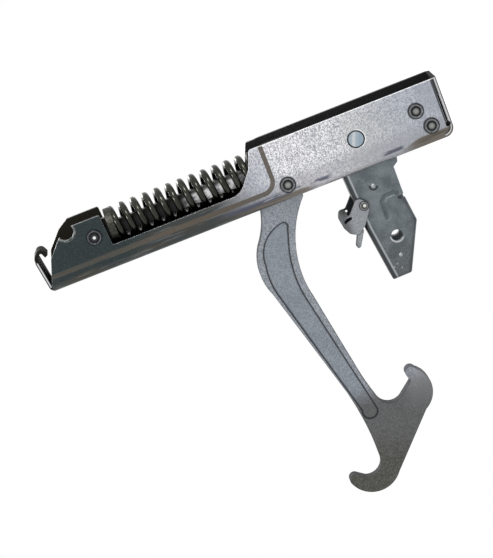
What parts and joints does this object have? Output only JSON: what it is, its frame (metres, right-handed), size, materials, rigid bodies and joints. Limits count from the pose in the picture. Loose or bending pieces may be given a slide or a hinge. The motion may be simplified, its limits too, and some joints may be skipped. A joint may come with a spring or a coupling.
{
  "type": "oven door hinge",
  "caption": "Sprung oven door hinge: folded channel with a coil spring on a guide rod, a swinging claw arm that hooks in the oven, and a pivoting foot bracket with a small latch.",
  "frame": {"origin": "centre of the outer face of the foot plate that closes the channel's lower end", "axes": "+Z along the channel from the foot plate to the top tab, +X towards the channel's open side, Y along the rivets; the claw arm and the bracket reach out to -X"},
  "size_m": [0.1948, 0.0282, 0.2203],
  "materials": {
    "channel_zinc": "zinc-plated sheet steel, mottled and slightly worn",
    "arm_steel": "plated forged steel, satin",
    "bracket_zinc": "zinc-plated sheet steel, smooth satin",
    "latch_steel": "plated sheet steel",
    "latch_pin_steel": "plated rivet",
    "bright_pin": "bright zinc-plated turned pin",
    "rivet_steel": "dark formed rivet heads",
    "dark_steel": "dark oiled steel",
    "spring_steel": "dark oiled spring wire"
  },
  "bodies": {
    "channel": {"channel": "channel_zinc", "arm_pivot_rivet": "rivet_steel", "arm_spacer_near": "dark_steel", "arm_spacer_far": "dark_steel", "anchor_rivet": "rivet_steel", "rod_spacer_near": "dark_steel", "rod_spacer_far": "dark_steel", "guide_rod": "dark_steel", "upper_spring_seat": "dark_steel", "coil_spring": "spring_steel", "bracket_pivot_rivet": "rivet_steel", "bracket_bush_near": "dark_steel", "bracket_bush_far": "dark_steel", "open_stop_rivet": "rivet_steel", "open_stop_sleeve": "dark_steel", "closed_stop_pin": "bright_pin", "closed_stop_sleeve": "dark_steel"},
    "arm": {"claw_arm": "arm_steel", "crank_pin": "rivet_steel"},
    "pusher": {"push_yoke": "dark_steel", "lower_spring_seat": "dark_steel"},
    "bracket": {"bracket": "bracket_zinc", "latch_pin": "latch_pin_steel"},
    "latch": {"latch": "latch_steel"}
  },
  "joints": [
    {"name": "arm_swing", "type": "hinge", "parent": "channel", "child": "arm", "pos_m": [-0.00785, 0, 0.0881], "axis": [0, -1, 0], "range_deg": [0, 28], "stiffness_Nm_per_rad": 6.5, "springref_deg": -34.38},
    {"name": "pusher_slide", "type": "slide", "parent": "channel", "child": "pusher", "axis": [0, 0, 1], "range_m": [0, 0.00726], "deforming": ["coil_spring"]},
    {"name": "bracket_swing", "type": "hinge", "parent": "channel", "child": "bracket", "pos_m": [-0.00655, 0, 0.0105], "axis": [0, -1, 0], "range_deg": [0, 90]},
    {"name": "latch_swing", "type": "hinge", "parent": "bracket", "child": "latch", "pos_m": [-0.03295, 0, 0.0561], "axis": [0, 1, 0], "range_deg": [0, 30]}
  ],
  "couplings": [
    {"joint": "pusher_slide", "follows": "arm_swing", "m_per_rad": 0.014851}
  ]
}
